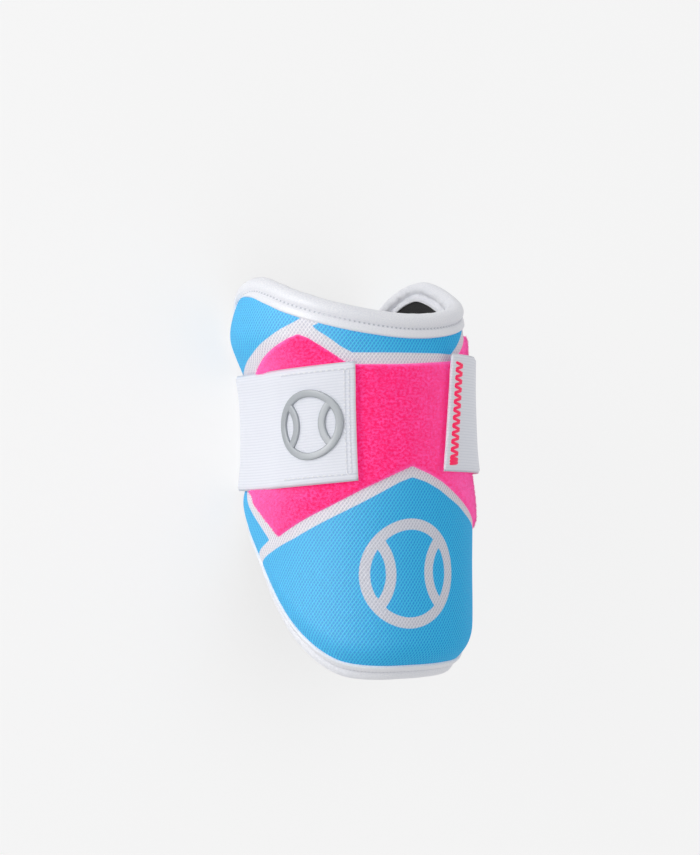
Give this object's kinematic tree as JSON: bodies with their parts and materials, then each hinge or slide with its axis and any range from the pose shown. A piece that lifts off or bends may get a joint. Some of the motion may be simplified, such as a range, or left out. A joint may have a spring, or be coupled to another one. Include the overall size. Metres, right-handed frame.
{
  "type": "baseball elbow guard",
  "caption": "Padded half shell that wraps the outer side of the elbow, with a bound edge, a brushed loop panel and one wide elastic strap behind the arm.",
  "frame": {"origin": "under the middle of the bounding box, on the surface that the strap's flat back rests on", "axes": "+Y up the arm from the narrow lower end to the rim, +Z out of the nose and away from the surface it lies on, -X towards the flap that carries the strap's wide end"},
  "size_m": [0.1056, 0.1676, 0.0865],
  "materials": {
    "printed_knit": "light blue knit with a fine mesh relief",
    "black_lining": "matt brushed knit",
    "white_tape": "smooth stretch tape, slightly glossy",
    "pink_pile": "brushed loop pile",
    "white_elastic": "finely ribbed woven elastic",
    "white_hook": "stiff hook tape",
    "grey_rubber": "satin moulded rubber"
  },
  "bodies": {
    "root": {"padded_shell": "printed_knit", "inner_lining": "black_lining", "edge_binding": "white_tape", "loop_panel": "pink_pile", "elastic_strap": "white_elastic", "hook_pad_wide_end": "white_hook", "hook_pad_plain_end": "white_hook", "strap_emblem": "grey_rubber"}
  },
  "joints": []
}
